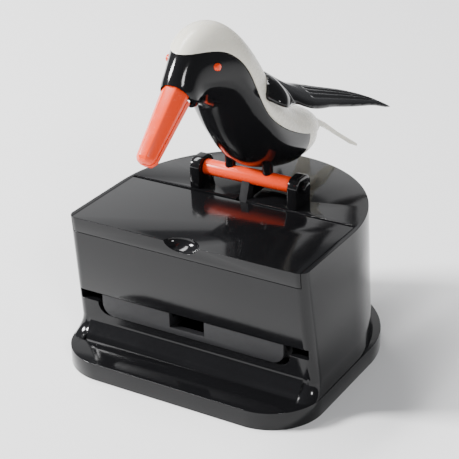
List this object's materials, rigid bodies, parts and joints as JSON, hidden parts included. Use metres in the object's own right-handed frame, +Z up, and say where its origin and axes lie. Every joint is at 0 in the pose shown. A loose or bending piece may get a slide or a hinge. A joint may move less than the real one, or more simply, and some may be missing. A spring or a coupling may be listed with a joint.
{
  "type": "pecking-bird toothpick dispenser",
  "caption": "Desk toothpick dispenser: a long-tailed bird on a perch bows over a low box with a lid, and its beak picks a toothpick from a tray that slides out.",
  "frame": {"origin": "centre of the box's underside, on the surface it rests on, midway between its front and back edges", "axes": "+Z up, -Y is the front that the beak and the tray point to, +X is the bird's left side"},
  "size_m": [0.0784, 0.1026, 0.1002],
  "materials": {
    "gloss_black": "polished",
    "ivory": "polished",
    "orange": "polished",
    "inner_plastic": "moulded",
    "steel": "drawn",
    "pad_rubber": "matt"
  },
  "bodies": {
    "box": {"base_plate": "gloss_black", "housing": "gloss_black", "lid": "gloss_black", "post_left": "gloss_black", "post_right": "gloss_black", "rail_left": "inner_plastic", "rail_right": "inner_plastic", "hopper": "inner_plastic", "rocker_hanger": "inner_plastic", "rocker_pin": "steel", "return_spring": "steel", "base_screws": "steel", "rubber_feet": "pad_rubber"},
    "tray": {"tray": "inner_plastic", "tray_pin": "steel"},
    "rocker": {"rocker": "inner_plastic"},
    "bird": {"perch_bar": "orange", "perch_axle": "gloss_black", "axle_cap": "gloss_black", "crank_arm": "inner_plastic", "crank_pin": "steel", "bird_body": "gloss_black", "back_shell": "ivory", "tail": "ivory", "wing_left": "gloss_black", "wing_right": "gloss_black", "beak_upper": "orange"},
    "jaw": {"beak_lower": "orange", "eye_pin": "orange"}
  },
  "joints": [
    {"name": "bird_bow", "type": "hinge", "parent": "box", "child": "bird", "pos_m": [0, 0.007, 0.0491], "axis": [1, 0, 0], "range_deg": [0, 59], "stiffness_Nm_per_rad": 0.01, "springref_deg": -45.84},
    {"name": "rocker_turn", "type": "hinge", "parent": "box", "child": "rocker", "pos_m": [0, 0.00975, 0.029], "axis": [-1, 0, 0], "range_deg": [0, 62]},
    {"name": "tray_slide", "type": "slide", "parent": "box", "child": "tray", "axis": [0, -1, 0], "range_m": [0, 0.0162]},
    {"name": "jaw", "type": "hinge", "parent": "bird", "child": "jaw", "pos_m": [0, -0.02, 0.091], "axis": [1, 0, 0], "range_deg": [0, 6], "stiffness_Nm_per_rad": 0.001, "springref_deg": -20.05}
  ],
  "couplings": [
    {"joint": "rocker_turn", "follows": "bird_bow", "ratio": 1.04},
    {"joint": "tray_slide", "follows": "bird_bow", "m_per_rad": 0.01544}
  ]
}
